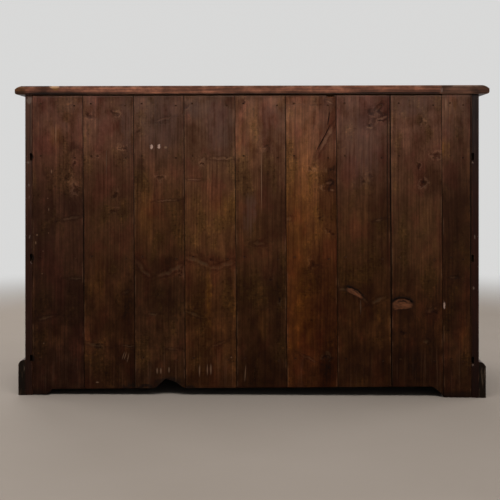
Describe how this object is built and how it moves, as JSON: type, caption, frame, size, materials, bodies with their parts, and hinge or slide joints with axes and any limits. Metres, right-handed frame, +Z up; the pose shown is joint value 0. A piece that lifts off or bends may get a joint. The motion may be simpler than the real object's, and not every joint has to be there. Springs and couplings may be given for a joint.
{
  "type": "dresser base",
  "caption": "Dark stained pine dresser base with panelled cupboard doors below drawers, turned knobs, a moulded plinth and a back of upright boards",
  "frame": {"origin": "on the floor, under the middle of the whole piece's box", "axes": "+X along the length, to the right of someone at the front; +Y from the doors to the boarded back; +Z up"},
  "size_m": [1.4, 0.524, 0.918],
  "materials": {
    "stained_pine": "worn dark stain",
    "bare_pine": "aged bare wood",
    "iron": "rusted",
    "brass": "tarnished"
  },
  "bodies": {
    "carcass": {"top": "stained_pine", "left_side": "stained_pine", "right_side": "stained_pine", "cupboard_floor": "stained_pine", "shelf": "bare_pine", "drawer_board": "stained_pine", "back_rail": "bare_pine", "top_rail": "stained_pine", "left_stile": "stained_pine", "right_stile": "stained_pine", "door_posts": "stained_pine", "drawer_posts": "stained_pine", "drawer_guides": "bare_pine", "drawer_stops": "bare_pine", "front_plinth": "stained_pine", "left_plinth": "stained_pine", "right_plinth": "stained_pine", "glue_blocks": "bare_pine", "back_board_1": "stained_pine", "back_board_2": "stained_pine", "back_board_3": "stained_pine", "back_board_4": "stained_pine", "back_board_5": "stained_pine", "back_board_6": "stained_pine", "back_board_7": "stained_pine", "back_board_8": "stained_pine", "back_board_9": "stained_pine", "back_nails": "iron", "frame_hinges": "brass"},
    "left_drawer": {"left_drawer_front": "stained_pine", "left_drawer_sides": "bare_pine", "left_drawer_back": "bare_pine", "left_drawer_bottom": "bare_pine", "left_drawer_knobs": "stained_pine"},
    "left_door": {"left_door_stiles": "stained_pine", "left_door_rails": "stained_pine", "left_door_panel": "stained_pine", "left_door_hinge_leaves": "brass"},
    "left_latch": {"left_door_latch": "stained_pine"},
    "middle_drawer": {"middle_drawer_front": "stained_pine", "middle_drawer_sides": "bare_pine", "middle_drawer_back": "bare_pine", "middle_drawer_bottom": "bare_pine", "middle_drawer_knobs": "stained_pine"},
    "middle_door": {"middle_door_stiles": "stained_pine", "middle_door_rails": "stained_pine", "middle_door_panel": "stained_pine", "middle_door_hinge_leaves": "brass"},
    "middle_latch": {"middle_door_latch": "stained_pine"},
    "right_drawer": {"right_drawer_front": "stained_pine", "right_drawer_sides": "bare_pine", "right_drawer_back": "bare_pine", "right_drawer_bottom": "bare_pine", "right_drawer_knobs": "stained_pine"},
    "right_door": {"right_door_stiles": "stained_pine", "right_door_rails": "stained_pine", "right_door_panel": "stained_pine", "right_door_hinge_leaves": "brass"},
    "right_latch": {"right_door_latch": "stained_pine"}
  },
  "joints": [
    {"name": "left_drawer_slide", "type": "slide", "parent": "carcass", "child": "left_drawer", "axis": [0, -1, 0], "range_m": [0, 0.34]},
    {"name": "left_door_hinge", "type": "hinge", "parent": "carcass", "child": "left_door", "pos_m": [-0.6245, -0.2278, 0.4085], "axis": [0, 0, -1], "range_deg": [0, 105]},
    {"name": "left_latch_turn", "type": "hinge", "parent": "left_door", "child": "left_latch", "pos_m": [-0.2595, -0.224, 0.46], "axis": [0, -1, 0], "range_deg": [0, 90]},
    {"name": "middle_drawer_slide", "type": "slide", "parent": "carcass", "child": "middle_drawer", "axis": [0, -1, 0], "range_m": [0, 0.34]},
    {"name": "middle_door_hinge", "type": "hinge", "parent": "carcass", "child": "middle_door", "pos_m": [-0.1975, -0.2278, 0.4085], "axis": [0, 0, -1], "range_deg": [0, 105]},
    {"name": "middle_latch_turn", "type": "hinge", "parent": "middle_door", "child": "middle_latch", "pos_m": [0.1675, -0.224, 0.46], "axis": [0, -1, 0], "range_deg": [0, 90]},
    {"name": "right_drawer_slide", "type": "slide", "parent": "carcass", "child": "right_drawer", "axis": [0, -1, 0], "range_m": [0, 0.34]},
    {"name": "right_door_hinge", "type": "hinge", "parent": "carcass", "child": "right_door", "pos_m": [0.6245, -0.2278, 0.4085], "axis": [0, 0, 1], "range_deg": [0, 105]},
    {"name": "right_latch_turn", "type": "hinge", "parent": "right_door", "child": "right_latch", "pos_m": [0.2595, -0.224, 0.46], "axis": [0, 1, 0], "range_deg": [0, 90]}
  ]
}
